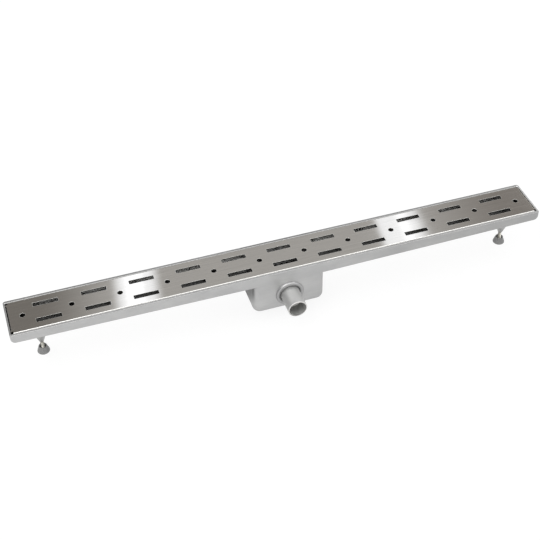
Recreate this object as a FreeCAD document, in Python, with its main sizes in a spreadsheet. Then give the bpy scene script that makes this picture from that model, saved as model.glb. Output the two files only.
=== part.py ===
"""Linear shower drain, 900 mm long, with a side outlet, a slotted cover and two levelling feet.

Frame: the origin is the centre of the cover's top face, which is level with the finished floor.
+X runs along the channel, the outlet points to -Y and +Z is up. Lengths are in millimetres.
"""
import FreeCAD, Part
import math
import os
import Sketcher

# Driving dimensions: name and value. What fits or lines up with another piece is worked out
# from these further down.
SIZES = [
    # channel, pressed from one sheet
    ("drain_length", 900.0),
    ("drain_width", 80.0),
    ("channel_sheet", 1.2),
    ("end_depth", 18.0),
    ("sump_edge_depth", 22.9),
    ("channel_edge_radius", 4.0),
    ("channel_end_radius", 8.0),
    ("side_rim", 5.0),
    ("end_rim", 3.0),
    ("rim_outer_radius", 1.25),
    ("rim_inner_radius", 1.6),
    ("rim_lip", 4.0),
    # sump under the middle of the channel
    ("sump_length", 122.6),
    ("sump_depth", 82.0),
    ("sump_corner_radius", 13.0),
    ("sump_bottom_radius", 11.0),
    # outlet
    ("outlet_drop", 49.7),
    ("outlet_reach", 80.0),
    ("pipe_diameter", 32.0),
    ("pipe_wall", 1.5),
    ("pipe_weld", 1.0),
    ("pipe_chamfer", 0.5),
    ("collar_bead_radius", 20.6),
    ("collar_bead_height", 3.4),
    # cover
    ("cover_sheet", 1.5),
    ("cover_side_gap", 0.5),
    ("cover_end_gap", 1.5),
    ("cover_fold_depth", 7.0),
    ("cover_fold_radius", 1.0),
    ("cover_notch_length", 2.5),
    ("cover_notch_width", 4.0),
    ("hole_count", 12.0),
    ("hole_end_distance", 25.73),
    ("hole_diameter", 8.5),
    ("slot_length", 40.0),
    ("slot_width", 8.0),
    ("slot_row_offset", 17.9),
    ("slot_chamfer", 0.3),
    ("nib_width", 3.0),
    ("nib_depth", 3.5),
    ("nib_clearance", 0.3),
    ("nib_drop", 0.6),
    # lugs that carry the cover
    ("lug_sheet", 1.5),
    ("lug_leg", 10.0),
    ("lug_outer_inset", 117.0),
    ("lug_middle_inset", 210.0),
    ("lug_inner_inset", 300.0),
    # hair strainer
    ("strainer_length", 150.0),
    ("strainer_side_gap", 0.5),
    ("strainer_seat_gap", 0.05),
    ("strainer_sheet", 1.0),
    ("strainer_corner", 6.0),
    ("strainer_notch_gap", 2.0),
    ("strainer_hole", 6.0),
    ("strainer_hole_pitch", 10.0),
    ("strainer_holes_long", 13.0),
    ("strainer_holes_wide", 5.0),
    ("handle_wire", 2.5),
    ("handle_pitches", 3.0),
    ("handle_height", 7.0),
    ("handle_bend", 3.5),
    # odour trap
    ("trap_fit", 0.2),
    ("trap_wall", 2.3),
    ("trap_spigot_wall", 3.3),
    ("trap_spigot_bore", 20.0),
    ("trap_spigot_length", 18.8),
    ("trap_shoulder_height", 2.7),
    ("trap_shoulder_width", 2.6),
    ("trap_leg_place", 20.0),
    ("trap_leg_rise", 19.7),
    ("trap_floor_gap", 4.0),
    ("seal_section", 1.5),
    ("seal_groove_depth", 1.4),
    ("seal_place", 6.8),
    ("seal_clearance", 0.05),
    ("plug_fit", 0.05),
    ("plug_cap_height", 3.0),
    ("plug_cap_overhang", 1.2),
    ("plug_stem", 8.0),
    ("plug_grip_width", 2.5),
    ("plug_grip_height", 5.0),
    ("plug_grip_length", 18.0),
    # levelling feet
    ("foot_inset", 45.5),
    ("overall_height", 86.5),
    ("cone_sheet", 1.5),
    ("cone_top_radius", 19.5),
    ("cone_flange_radius", 22.5),
    ("cone_flange_fillet", 3.5),
    ("cone_neck_radius", 3.7),
    ("cone_neck_drop", 63.5),
    ("cone_thread_length", 6.5),
    ("bolt_diameter", 6.0),
    ("bolt_clearance", 0.05),
    ("bolt_length", 50.0),
    ("bolt_head_flats", 10.0),
    ("bolt_head_height", 4.0),
    ("bolt_chamfer", 0.6),
    ("pad_floor", 2.5),
    ("pad_base_radius", 10.0),
    ("pad_base_rim", 1.5),
    ("pad_base_chamfer", 0.6),
    ("pad_top_radius", 6.6),
    ("pad_mouth_radius", 5.4),
    ("pad_height", 11.5),
    ("pad_head_clearance", 0.05),
]


class Length:
    """A length that knows its value and the sheet expression that gives it."""

    def __init__(self, value, text):
        self.value = float(value)
        self.text = text

    def __add__(self, other):
        other = as_length(other)
        return Length(self.value + other.value, f"({self.text} + {other.text})")

    def __radd__(self, other):
        return as_length(other) + self

    def __sub__(self, other):
        other = as_length(other)
        return Length(self.value - other.value, f"({self.text} - {other.text})")

    def __rsub__(self, other):
        return as_length(other) - self

    def __mul__(self, other):
        other = as_length(other)
        return Length(self.value * other.value, f"({self.text} * {other.text})")

    def __rmul__(self, other):
        return as_length(other) * self

    def __truediv__(self, other):
        other = as_length(other)
        return Length(self.value / other.value, f"({self.text} / {other.text})")

    def __neg__(self):
        return Length(-self.value, f"(0 - {self.text})")

    def __float__(self):
        return self.value


def as_length(thing):
    """Give a plain number the same form as a length from the sheet."""
    if isinstance(thing, Length):
        return thing
    return Length(thing, repr(float(thing)))


doc = FreeCAD.newDocument("shower_drain")
sheet = doc.addObject("Spreadsheet::Sheet", "dims")


class Sizes:
    """The sheet's driving dimensions, each by its name."""


size = Sizes()
for row, (name, value) in enumerate(SIZES, start=1):
    sheet.set(f"A{row}", name)
    sheet.set(f"B{row}", str(value))
    sheet.setAlias(f"B{row}", name)
    setattr(size, name, Length(value, f"dims.{name}"))
doc.recompute()


# Helpers for bodies, sketches and features

def bind(item, name, length):
    """Tie one property of an object to the sheet."""
    item.setExpression(name, as_length(length).text)


def new_body(label):
    body = doc.addObject("PartDesign::Body", label)
    body.Label = label
    return body


def move(item, x=0, y=0, z=0):
    """Place an object from the sheet."""
    for axis, length in (("x", x), ("y", y), ("z", z)):
        bind(item, f"Placement.Base.{axis}", length)


def origin_plane(body, role):
    return [item for item in body.Origin.OriginFeatures if item.Role == role][0]


def new_sketch(body, name, role, up=0, out=0):
    """A sketch on one of the body's planes, moved by up in its plane and by out from it."""
    sketch = body.newObject("Sketcher::SketchObject", name)
    sketch.AttachmentSupport = [(origin_plane(body, role), "")]
    sketch.MapMode = "FlatFace"
    bind(sketch, "AttachmentOffset.Base.y", up)
    bind(sketch, "AttachmentOffset.Base.z", out)
    return sketch


def fix(sketch, kind, *place, length):
    """Add one constraint whose value comes from the sheet."""
    length = as_length(length)
    index = sketch.addConstraint(Sketcher.Constraint(kind, *place, length.value))
    sketch.setExpression(f"Constraints[{index}]", length.text)


def outline(sketch, points):
    """A closed outline of straight lines through the points, each point fixed from the sheet."""
    corners = [FreeCAD.Vector(float(x), float(y), 0) for x, y in points]
    count = len(corners)
    lines = [
        sketch.addGeometry(Part.LineSegment(corners[i], corners[(i + 1) % count]), False)
        for i in range(count)
    ]
    for i in range(count):
        sketch.addConstraint(Sketcher.Constraint("Coincident", lines[i - 1], 2, lines[i], 1))
    for line, (x, y) in zip(lines, points):
        fix(sketch, "DistanceX", line, 1, length=x)
        fix(sketch, "DistanceY", line, 1, length=y)


def rectangle(sketch, x_low, x_high, y_low, y_high):
    outline(sketch, [(x_low, y_low), (x_high, y_low), (x_high, y_high), (x_low, y_high)])


def rounded_rectangle(sketch, reach, face, radius):
    """A rectangle about the sketch's origin, reach and face to its sides, with round corners."""
    arcs = []
    for turns, (along, across) in enumerate([(1, 1), (-1, 1), (-1, -1), (1, -1)]):
        x = along * (reach - radius)
        y = across * (face - radius)
        centre = FreeCAD.Vector(float(x), float(y), 0)
        ring = Part.Circle(centre, FreeCAD.Vector(0, 0, 1), float(radius))
        start = turns * math.pi / 2
        arc = sketch.addGeometry(Part.ArcOfCircle(ring, start, start + math.pi / 2), False)
        fix(sketch, "Radius", arc, length=radius)
        fix(sketch, "DistanceX", arc, 3, length=x)
        fix(sketch, "DistanceY", arc, 3, length=y)
        arcs.append(arc)
    for i, arc in enumerate(arcs):
        following = arcs[(i + 1) % 4]
        start = sketch.getPoint(arc, 2)
        end = sketch.getPoint(following, 1)
        line = sketch.addGeometry(Part.LineSegment(start, end), False)
        sketch.addConstraint(Sketcher.Constraint("Tangent", arc, 2, line, 1))
        sketch.addConstraint(Sketcher.Constraint("Tangent", line, 2, following, 1))


def circle(sketch, x, y, radius):
    shape = Part.Circle(FreeCAD.Vector(float(x), float(y), 0), FreeCAD.Vector(0, 0, 1), float(radius))
    index = sketch.addGeometry(shape, False)
    fix(sketch, "Radius", index, length=radius)
    fix(sketch, "DistanceX", index, 3, length=x)
    fix(sketch, "DistanceY", index, 3, length=y)


def half_round(sketch, x, y, radius):
    """The half of a disc that lies to the left of its centre."""
    centre = FreeCAD.Vector(float(x), float(y), 0)
    ring = Part.Circle(centre, FreeCAD.Vector(0, 0, 1), float(radius))
    arc = sketch.addGeometry(Part.ArcOfCircle(ring, math.pi / 2, 3 * math.pi / 2), False)
    fix(sketch, "Radius", arc, length=radius)
    fix(sketch, "DistanceX", arc, 3, length=x)
    fix(sketch, "DistanceY", arc, 3, length=y)
    fix(sketch, "DistanceX", arc, 1, length=x)
    fix(sketch, "DistanceX", arc, 2, length=x)
    flat = sketch.addGeometry(
        Part.LineSegment(sketch.getPoint(arc, 2), sketch.getPoint(arc, 1)), False)
    sketch.addConstraint(Sketcher.Constraint("Coincident", arc, 2, flat, 1))
    sketch.addConstraint(Sketcher.Constraint("Coincident", flat, 2, arc, 1))


def arch(sketch, half_span, height, bend):
    """An open route: up, round a bend, across, round a bend and down again."""
    x = float(half_span)
    y = float(height)
    r = float(bend)
    up = FreeCAD.Vector(0, 0, 1)
    left = Part.Circle(FreeCAD.Vector(r - x, y - r, 0), up, r)
    right = Part.Circle(FreeCAD.Vector(x - r, y - r, 0), up, r)
    parts = [
        Part.LineSegment(FreeCAD.Vector(-x, 0, 0), FreeCAD.Vector(-x, y - r, 0)),
        Part.ArcOfCircle(left, math.pi / 2, math.pi),
        Part.LineSegment(FreeCAD.Vector(r - x, y, 0), FreeCAD.Vector(x - r, y, 0)),
        Part.ArcOfCircle(right, 0, math.pi / 2),
        Part.LineSegment(FreeCAD.Vector(x, y - r, 0), FreeCAD.Vector(x, 0, 0)),
    ]
    rise, left_bend, across, right_bend, fall = [sketch.addGeometry(p, False) for p in parts]
    sketch.addConstraint(Sketcher.Constraint("Tangent", rise, 2, left_bend, 2))
    sketch.addConstraint(Sketcher.Constraint("Tangent", left_bend, 1, across, 1))
    sketch.addConstraint(Sketcher.Constraint("Tangent", across, 2, right_bend, 2))
    sketch.addConstraint(Sketcher.Constraint("Tangent", right_bend, 1, fall, 1))
    for bent, side in ((left_bend, -1), (right_bend, 1)):
        fix(sketch, "Radius", bent, length=bend)
        fix(sketch, "DistanceX", bent, 3, length=side * (half_span - bend))
        fix(sketch, "DistanceY", bent, 3, length=height - bend)
    for leg, end, side in ((rise, 1, -1), (fall, 2, 1)):
        fix(sketch, "DistanceX", leg, end, length=side * half_span)
        fix(sketch, "DistanceY", leg, end, length=0)


def extrude(body, kind, sketch, length, both=False, back=False):
    """A Pad or Pocket of the sketch."""
    feature = body.newObject(f"PartDesign::{kind}", f"{sketch.Name}_{kind.lower()}")
    feature.Profile = sketch
    feature.Midplane = both
    feature.Reversed = back
    bind(feature, "Length", length)
    doc.recompute()
    return feature


def turn(body, kind, sketch, axis):
    """A Revolution or Groove of the sketch about one of its own axes."""
    feature = body.newObject(f"PartDesign::{kind}", f"{sketch.Name}_{kind.lower()}")
    feature.Profile = sketch
    feature.ReferenceAxis = (sketch, [axis])
    feature.Angle = 360
    doc.recompute()
    return feature


def edges_where(feature, wanted):
    """Names of the edges for which wanted is true."""
    return [f"Edge{i}" for i, edge in enumerate(feature.Shape.Edges, start=1) if wanted(edge)]


def blend(body, kind, base, wanted, radius, name):
    """A Fillet or Chamfer on the edges for which wanted is true."""
    feature = body.newObject(f"PartDesign::{kind}", name)
    feature.Base = (base, edges_where(base, wanted))
    bind(feature, "Radius" if kind == "Fillet" else "Size", radius)
    doc.recompute()
    return feature


def near(a, b, slack=0.01):
    return abs(float(a) - float(b)) < slack


def spans(edge, axis, low, high):
    """Whether the edge lies wholly between two places along an axis."""
    box = edge.BoundBox
    ends = {"x": (box.XMin, box.XMax), "y": (box.YMin, box.YMax), "z": (box.ZMin, box.ZMax)}[axis]
    slack = 0.01
    return ends[0] > float(low) - slack and ends[1] < float(high) + slack


def off_middle(edge, axis, low, high):
    """Whether the edge lies wholly between two distances from the middle, on either side of it."""
    return spans(edge, axis, low, high) or spans(edge, axis, -as_length(high), -as_length(low))


def hexagon(sketch, flats):
    """A six-sided outline about the sketch's origin, with flats across."""
    corner = flats / math.sqrt(3)
    outline(sketch, [
        (corner * math.cos(math.radians(60 * i)), corner * math.sin(math.radians(60 * i)))
        for i in range(6)
    ])


def repeat(body, feature, sketch, count, pitch, rows=1, row_pitch=1):
    """The feature again along the sketch's width, and in rows along its height."""
    pattern = body.newObject("PartDesign::LinearPattern", f"{feature.Name}_row")
    pattern.Originals = [feature]
    pattern.Direction = (sketch, ["H_Axis"])
    pattern.Direction2 = (sketch, ["V_Axis"])
    bind(pattern, "Length", pitch * (count - 1))
    bind(pattern, "Occurrences", count)
    bind(pattern, "Length2", as_length(row_pitch) * (as_length(rows) - 1))
    bind(pattern, "Occurrences2", rows)
    body.Tip = pattern
    doc.recompute()
    return pattern


# Places that several pieces share

half_length = size.drain_length / 2
half_width = size.drain_width / 2
sump_half = size.sump_length / 2
floor_fall = (size.sump_edge_depth - size.end_depth) / (half_length - sump_half)
hole_pitch = (size.drain_length - size.hole_end_distance * 2) / (size.hole_count - 1)
opening_length = half_length - size.end_rim
opening_width = half_width - size.side_rim
cover_length = opening_length - size.cover_end_gap
cover_width = opening_width - size.cover_side_gap
pipe_radius = size.pipe_diameter / 2
pipe_bore_radius = pipe_radius - size.pipe_wall
inner_face = half_width - size.channel_sheet
spigot_radius = pipe_bore_radius - size.trap_fit
spigot_end = inner_face + size.trap_spigot_length
seal_middle = inner_face + size.seal_place
leg_bore_radius = spigot_radius - size.trap_wall
trap_top = size.trap_leg_rise - size.outlet_drop
trap_bottom = -(size.sump_depth - size.channel_sheet - size.trap_floor_gap)
foot_place = half_length - size.foot_inset
thread_bore = size.bolt_diameter / 2 + size.bolt_clearance
bolt_seat = size.pad_floor + size.bolt_head_height - size.overall_height


def floor_depth(place):
    """Depth of the channel's underside at a distance from its middle."""
    return size.end_depth + floor_fall * (half_length - place)


strainer_seat = floor_depth(size.strainer_length / 2) - size.channel_sheet
strainer_underside = size.strainer_seat_gap - strainer_seat


# Channel body

def channel_form(body, inset):
    """The channel's outside for inset 0, and for the sheet's thickness the space inside it."""
    end = half_length - inset
    face = half_width - inset
    low = inset - size.end_depth
    bottom = inset - size.sump_depth

    side = new_sketch(body, f"{body.Name}_side", "XZ_Plane")
    outline(side, [(0, -inset), (end, -inset), (end, low), (0, inset - floor_depth(0))])
    half = extrude(body, "Pad", side, face * 2, both=True)
    end_round = blend(
        body, "Fillet", half,
        lambda edge: spans(edge, "x", end, end) and spans(edge, "z", low, low),
        size.channel_end_radius - inset, f"{body.Name}_end_round")
    edge_round = blend(
        body, "Fillet", end_round,
        lambda edge: off_middle(edge, "y", face, face)
        and not spans(edge, "z", -inset, -inset) and not spans(edge, "x", 0, 0),
        size.channel_edge_radius - inset, f"{body.Name}_edge_round")
    whole = body.newObject("PartDesign::Mirrored", f"{body.Name}_whole")
    whole.TransformMode = "Whole shape"
    whole.MirrorPlane = (origin_plane(body, "YZ_Plane"), [""])
    body.Tip = whole
    doc.recompute()

    plan = new_sketch(body, f"{body.Name}_plan", "XY_Plane", out=-inset)
    rounded_rectangle(plan, sump_half - inset, face, size.sump_corner_radius - inset)
    sump = extrude(body, "Pad", plan, size.sump_depth - inset * 2, back=True)
    blend(
        body, "Fillet", sump, lambda edge: spans(edge, "z", bottom, bottom),
        size.sump_bottom_radius - inset, f"{body.Name}_bottom_round")


def make_channel_body():
    """One pressed sheet: channel with falls to a sump, folded rim and a bead round the outlet."""
    sheet_thickness = size.channel_sheet
    space = new_body("channel_space")
    channel_form(space, sheet_thickness)
    body = new_body("channel_body")
    channel_form(body, as_length(0))
    hollow = body.newObject("PartDesign::Boolean", "channel_hollow")
    hollow.Type = "Cut"
    hollow.addObject(space)
    body.Tip = hollow
    doc.recompute()

    opening = new_sketch(body, "channel_opening", "XY_Plane")
    rectangle(opening, -opening_length, opening_length, -opening_width, opening_width)
    extrude(body, "Pocket", opening, sheet_thickness)
    lip = new_sketch(body, "channel_lip", "XY_Plane", out=-sheet_thickness)
    rectangle(lip, -opening_length, opening_length, -opening_width, opening_width)
    lip_length = opening_length + sheet_thickness
    lip_width = opening_width + sheet_thickness
    rectangle(lip, -lip_length, lip_length, -lip_width, lip_width)
    folded = extrude(body, "Pad", lip, size.rim_lip - sheet_thickness, back=True)

    def on_top(edge, length, width):
        reaches = edge.BoundBox.XMax > float(length) or edge.BoundBox.YMax > float(width)
        return reaches or edge.BoundBox.XMin < -float(length) or edge.BoundBox.YMin < -float(width)

    outer = blend(
        body, "Fillet", folded,
        lambda edge: spans(edge, "z", 0, 0) and on_top(edge, lip_length, lip_width),
        size.rim_outer_radius, "rim_outer_round")
    blend(
        body, "Fillet", outer,
        lambda edge: spans(edge, "z", 0, 0) and not on_top(edge, lip_length, lip_width),
        size.rim_inner_radius, "rim_inner_round")

    bead = new_sketch(body, "collar_bead", "YZ_Plane", up=-size.outlet_drop)
    half_round(bead, -half_width, size.collar_bead_radius, size.collar_bead_height)
    turn(body, "Revolution", bead, "H_Axis")
    bead_space = new_sketch(body, "collar_space", "YZ_Plane", up=-size.outlet_drop)
    circle(bead_space, -half_width, size.collar_bead_radius, size.collar_bead_height - sheet_thickness)
    turn(body, "Groove", bead_space, "H_Axis")
    bore = new_sketch(body, "outlet_bore", "XZ_Plane", up=-size.outlet_drop, out=half_width)
    circle(bore, 0, 0, pipe_bore_radius)
    extrude(body, "Pocket", bore, sheet_thickness * 2)
    return body


def make_outlet_pipe():
    """A plain stub pipe, butted on the sump's front wall over its hole, with its weld bead."""
    body = new_body("outlet_pipe")
    section = new_sketch(
        body, "pipe_section", "XZ_Plane", up=-size.outlet_drop, out=half_width)
    circle(section, 0, 0, pipe_radius)
    circle(section, 0, 0, pipe_bore_radius)
    extrude(body, "Pad", section, size.outlet_reach - half_width)
    weld = new_sketch(body, "pipe_weld", "YZ_Plane", up=-size.outlet_drop)
    weld_end = -half_width - size.pipe_weld
    outline(weld, [
        (-half_width, pipe_bore_radius),
        (-half_width, pipe_radius + size.pipe_weld),
        (weld_end, pipe_radius),
        (weld_end, pipe_bore_radius),
    ])
    welded = turn(body, "Revolution", weld, "H_Axis")
    blend(
        body, "Chamfer", welded,
        lambda edge: spans(edge, "y", -size.outlet_reach, -size.outlet_reach)
        and near(edge.BoundBox.XMax, pipe_radius),
        size.pipe_chamfer, "pipe_mouth")
    return body


# Cover plate

def in_order(first, second):
    return sorted((first, second), key=float)


def make_cover_plate():
    """One sheet, punched with slots and holes and folded down all round, notched at its corners."""
    body = new_body("cover_plate")
    long_end = cover_length - size.cover_notch_length
    wide_end = cover_width - size.cover_notch_width
    top = new_sketch(body, "cover_outline", "XY_Plane")
    quarter = [(cover_length, wide_end), (long_end, wide_end), (long_end, cover_width)]
    corners = []
    for along, across in ((1, 1), (-1, 1), (-1, -1), (1, -1)):
        step = 1 if along * across > 0 else -1
        corners += [(along * x, across * y) for x, y in quarter[::step]]
    outline(top, corners)
    extrude(body, "Pad", top, size.cover_sheet, back=True)

    folds = new_sketch(body, "cover_folds", "XY_Plane", out=-size.cover_sheet)
    for sign in (1, -1):
        x_inner, x_outer = in_order(
            sign * (cover_length - size.cover_sheet), sign * cover_length)
        y_inner, y_outer = in_order(
            sign * (cover_width - size.cover_sheet), sign * cover_width)
        rectangle(folds, x_inner, x_outer, -wide_end, wide_end)
        rectangle(folds, -long_end, long_end, y_inner, y_outer)
    folded = extrude(body, "Pad", folds, size.cover_fold_depth - size.cover_sheet, back=True)
    rounded = blend(
        body, "Fillet", folded,
        lambda edge: spans(edge, "z", 0, 0)
        and (off_middle(edge, "x", cover_length, cover_length)
             or off_middle(edge, "y", cover_width, cover_width)),
        size.cover_fold_radius, "cover_fold_round")

    nibs = new_sketch(body, "cover_nibs", "XY_Plane", out=-size.nib_drop)
    root = cover_length - size.cover_sheet / 2
    tip = opening_length - size.nib_clearance
    for along, across in ((1, 1), (-1, 1), (-1, -1), (1, -1)):
        x_low, x_high = in_order(along * root, along * tip)
        y_low, y_high = in_order(across * (wide_end - size.nib_width), across * wide_end)
        rectangle(nibs, x_low, x_high, y_low, y_high)
    extrude(body, "Pad", nibs, size.nib_depth, back=True)

    first_hole = -hole_pitch * (size.hole_count - 1) / 2
    hole = new_sketch(body, "cover_hole", "XY_Plane")
    circle(hole, first_hole, 0, size.hole_diameter / 2)
    punched = extrude(body, "Pocket", hole, size.cover_sheet)
    repeat(body, punched, hole, size.hole_count, hole_pitch)
    slot = new_sketch(body, "cover_slot", "XY_Plane")
    middle = first_hole + hole_pitch / 2
    rectangle(
        slot, middle - size.slot_length / 2, middle + size.slot_length / 2,
        -size.slot_row_offset - size.slot_width / 2, -size.slot_row_offset + size.slot_width / 2)
    cut = extrude(body, "Pocket", slot, size.cover_sheet)
    slots = repeat(
        body, cut, slot, size.hole_count - 1, hole_pitch, 2, size.slot_row_offset * 2)
    blend(
        body, "Chamfer", slots,
        lambda edge: spans(edge, "z", 0, 0) and spans(edge, "y", -wide_end, wide_end)
        and spans(edge, "x", -long_end, long_end),
        size.slot_chamfer, "slot_chamfer")
    return body


# Support lugs

def make_support_lug(label, place, wall, turned):
    """An L of thick sheet, one leg spot-welded flat on the wall, the other standing out of it."""
    body = new_body(label)
    body.Placement = FreeCAD.Placement(
        FreeCAD.Vector(), FreeCAD.Rotation(FreeCAD.Vector(0, 0, 1), turned))
    plan = new_sketch(body, f"{label}_plan", "XY_Plane")
    outline(plan, [
        (0, 0),
        (0, -size.lug_leg),
        (size.lug_sheet, -size.lug_leg),
        (size.lug_sheet, -size.lug_sheet),
        (size.lug_leg, -size.lug_sheet),
        (size.lug_leg, 0),
    ])
    outermost = floor_depth(half_length - size.lug_outer_inset)
    height = outermost - size.channel_edge_radius - size.cover_fold_depth
    extrude(body, "Pad", plan, height, back=True)
    move(body, x=place, y=wall, z=-size.cover_fold_depth)
    return body


def make_support_lugs():
    """Seven lugs on each long wall."""
    insets = [size.lug_inner_inset, size.lug_middle_inset, size.lug_outer_inset]
    sides = [half_length - inset for inset in insets]
    places = [-place for place in reversed(sides)] + [as_length(0)] + sides
    lugs = []
    for number, place in enumerate(places, start=1):
        lugs.append(make_support_lug(f"support_lug_back_{number}", place, inner_face, 0))
        lugs.append(make_support_lug(f"support_lug_front_{number}", place, -inner_face, 180))
    return lugs


# Hair strainer

def make_hair_strainer():
    """A flat perforated plate that rests on the falls to both sides of the sump."""
    body = new_body("hair_strainer")
    reach = size.strainer_length / 2
    face = half_width - size.channel_edge_radius - size.strainer_side_gap
    notch = size.lug_leg + size.strainer_notch_gap
    waist = inner_face - size.lug_leg - size.strainer_notch_gap
    plan = new_sketch(body, "strainer_plan", "XY_Plane")
    outline(plan, [
        (-reach, -face), (-notch, -face), (-notch, -waist), (notch, -waist), (notch, -face),
        (reach, -face), (reach, face), (notch, face), (notch, waist), (-notch, waist),
        (-notch, face), (-reach, face),
    ])
    plate = extrude(body, "Pad", plan, size.strainer_sheet)
    blend(
        body, "Fillet", plate,
        lambda edge: off_middle(edge, "x", reach, reach) and off_middle(edge, "y", face, face),
        size.strainer_corner, "strainer_corners")
    hole = new_sketch(body, "strainer_hole", "XY_Plane")
    circle(
        hole, -size.strainer_hole_pitch * (size.strainer_holes_long - 1) / 2,
        -size.strainer_hole_pitch * (size.strainer_holes_wide - 1) / 2, size.strainer_hole / 2)
    punched = extrude(body, "Pocket", hole, size.strainer_sheet, back=True)
    repeat(
        body, punched, hole, size.strainer_holes_long, size.strainer_hole_pitch,
        size.strainer_holes_wide, size.strainer_hole_pitch)
    move(body, z=strainer_underside)
    return body


def make_strainer_handle():
    """A bent wire, both ends welded to the strainer between its holes."""
    body = new_body("strainer_handle")
    half_span = size.strainer_hole_pitch * size.handle_pitches / 2
    bend = size.handle_bend
    route = new_sketch(body, "handle_route", "XZ_Plane")
    arch(route, half_span, size.handle_height, bend)
    section = new_sketch(body, "handle_section", "XY_Plane")
    circle(section, -half_span, 0, size.handle_wire / 2)
    wire = body.newObject("PartDesign::AdditivePipe", "handle_pipe")
    wire.Profile = section
    wire.Spine = route
    move(body, z=strainer_underside + size.strainer_sheet)
    return body


# Odour trap

def make_trap_elbow():
    """A moulded elbow: a spigot pushed into the outlet pipe and a leg that dips in the water."""
    body = new_body("trap_elbow")
    leg = new_sketch(body, "leg_section", "XY_Plane", up=-size.trap_leg_place, out=trap_top)
    circle(leg, 0, 0, spigot_radius)
    extrude(body, "Pad", leg, trap_top - trap_bottom, back=True)
    spigot = new_sketch(
        body, "spigot_section", "XZ_Plane", up=-size.outlet_drop, out=size.trap_leg_place)
    circle(spigot, 0, 0, spigot_radius)
    extrude(body, "Pad", spigot, spigot_end - size.trap_leg_place)
    shoulder = new_sketch(
        body, "shoulder_section", "XZ_Plane", up=-size.outlet_drop, out=inner_face)
    circle(shoulder, 0, 0, spigot_radius + size.trap_shoulder_width)
    extrude(body, "Pad", shoulder, size.trap_shoulder_height, back=True)
    leg_bore = new_sketch(body, "leg_bore", "XY_Plane", up=-size.trap_leg_place, out=trap_top)
    circle(leg_bore, 0, 0, leg_bore_radius)
    extrude(body, "Pocket", leg_bore, trap_top - trap_bottom)
    bore_radius = size.trap_spigot_bore / 2
    rise = spigot_radius - size.trap_spigot_wall - bore_radius
    spigot_bore = new_sketch(
        body, "spigot_bore", "XZ_Plane", up=-size.outlet_drop + rise, out=spigot_end)
    circle(spigot_bore, 0, 0, bore_radius)
    extrude(body, "Pocket", spigot_bore, spigot_end - size.trap_leg_place)
    groove = new_sketch(body, "seal_groove", "YZ_Plane", up=-size.outlet_drop)
    half_groove = size.seal_section / 2 + size.seal_clearance
    rectangle(
        groove, -seal_middle - half_groove, -seal_middle + half_groove,
        spigot_radius - size.seal_groove_depth, spigot_radius + size.trap_fit)
    turn(body, "Groove", groove, "H_Axis")
    return body


def make_trap_seal():
    """A ring seal in the spigot's groove, just clear of the pipe's bore."""
    ring = doc.addObject("Part::Torus", "trap_seal")
    ring.Label = "trap_seal"
    ring.Placement = FreeCAD.Placement(
        FreeCAD.Vector(), FreeCAD.Rotation(FreeCAD.Vector(1, 0, 0), 90))
    inner = spigot_radius - size.seal_groove_depth + size.seal_clearance
    bind(ring, "Radius1", inner + size.seal_section / 2)
    bind(ring, "Radius2", size.seal_section / 2)
    move(ring, y=-seal_middle, z=-size.outlet_drop)
    return ring


def make_rodding_plug():
    """A moulded plug with a grip, pushed into the top of the elbow's leg."""
    body = new_body("rodding_plug")
    cap = new_sketch(body, "plug_cap", "XY_Plane")
    circle(cap, 0, 0, spigot_radius + size.plug_cap_overhang)
    extrude(body, "Pad", cap, size.plug_cap_height)
    stem = new_sketch(body, "plug_stem", "XY_Plane")
    circle(stem, 0, 0, leg_bore_radius - size.plug_fit)
    extrude(body, "Pad", stem, size.plug_stem, back=True)
    grip = new_sketch(body, "plug_grip", "XY_Plane", out=size.plug_cap_height)
    long_side = size.plug_grip_length / 2
    short_side = size.plug_grip_width / 2
    rectangle(grip, -long_side, long_side, -short_side, short_side)
    extrude(body, "Pad", grip, size.plug_grip_height)
    move(body, y=-size.trap_leg_place, z=trap_top)
    return body


# Levelling feet

def make_foot_cone(label, place, turned):
    """A pressed hollow cone, point down, welded under the floor, with a tapped neck."""
    body = new_body(label)
    body.Placement = FreeCAD.Placement(
        FreeCAD.Vector(), FreeCAD.Rotation(FreeCAD.Vector(0, 0, 1), turned))
    rim = size.cone_flange_radius
    under_flange = -floor_depth(foot_place - rim) - size.cone_sheet
    over_flange = -floor_depth(foot_place + rim)
    neck_end = -size.cone_neck_drop
    thread_end = neck_end + size.cone_thread_length
    spread = (size.cone_top_radius - size.cone_neck_radius) / (under_flange - neck_end)
    at_thread_end = size.cone_neck_radius + spread * size.cone_thread_length
    section = new_sketch(body, f"{label}_section", "XZ_Plane")
    outline(section, [
        (thread_bore, neck_end),
        (size.cone_neck_radius, neck_end),
        (size.cone_top_radius, under_flange),
        (rim, under_flange),
        (rim, over_flange),
        (size.cone_top_radius - size.cone_sheet, over_flange),
        (size.cone_top_radius - size.cone_sheet, under_flange),
        (at_thread_end - size.cone_sheet, thread_end),
        (thread_bore, thread_end),
    ])
    cone = turn(body, "Revolution", section, "V_Axis")
    blend(
        body, "Fillet", cone,
        lambda edge: spans(edge, "z", under_flange, under_flange)
        and near(edge.BoundBox.XMax, size.cone_top_radius),
        size.cone_flange_fillet, f"{label}_flange_round")
    floor_line = new_sketch(body, f"{label}_floor_line", "XZ_Plane")
    outline(floor_line, [
        (-rim, -floor_depth(foot_place - rim)),
        (rim, over_flange),
        (rim, over_flange + size.cone_sheet),
        (-rim, over_flange + size.cone_sheet),
    ])
    extrude(body, "Pocket", floor_line, rim * 2, both=True)
    move(body, x=place)
    return body


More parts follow.
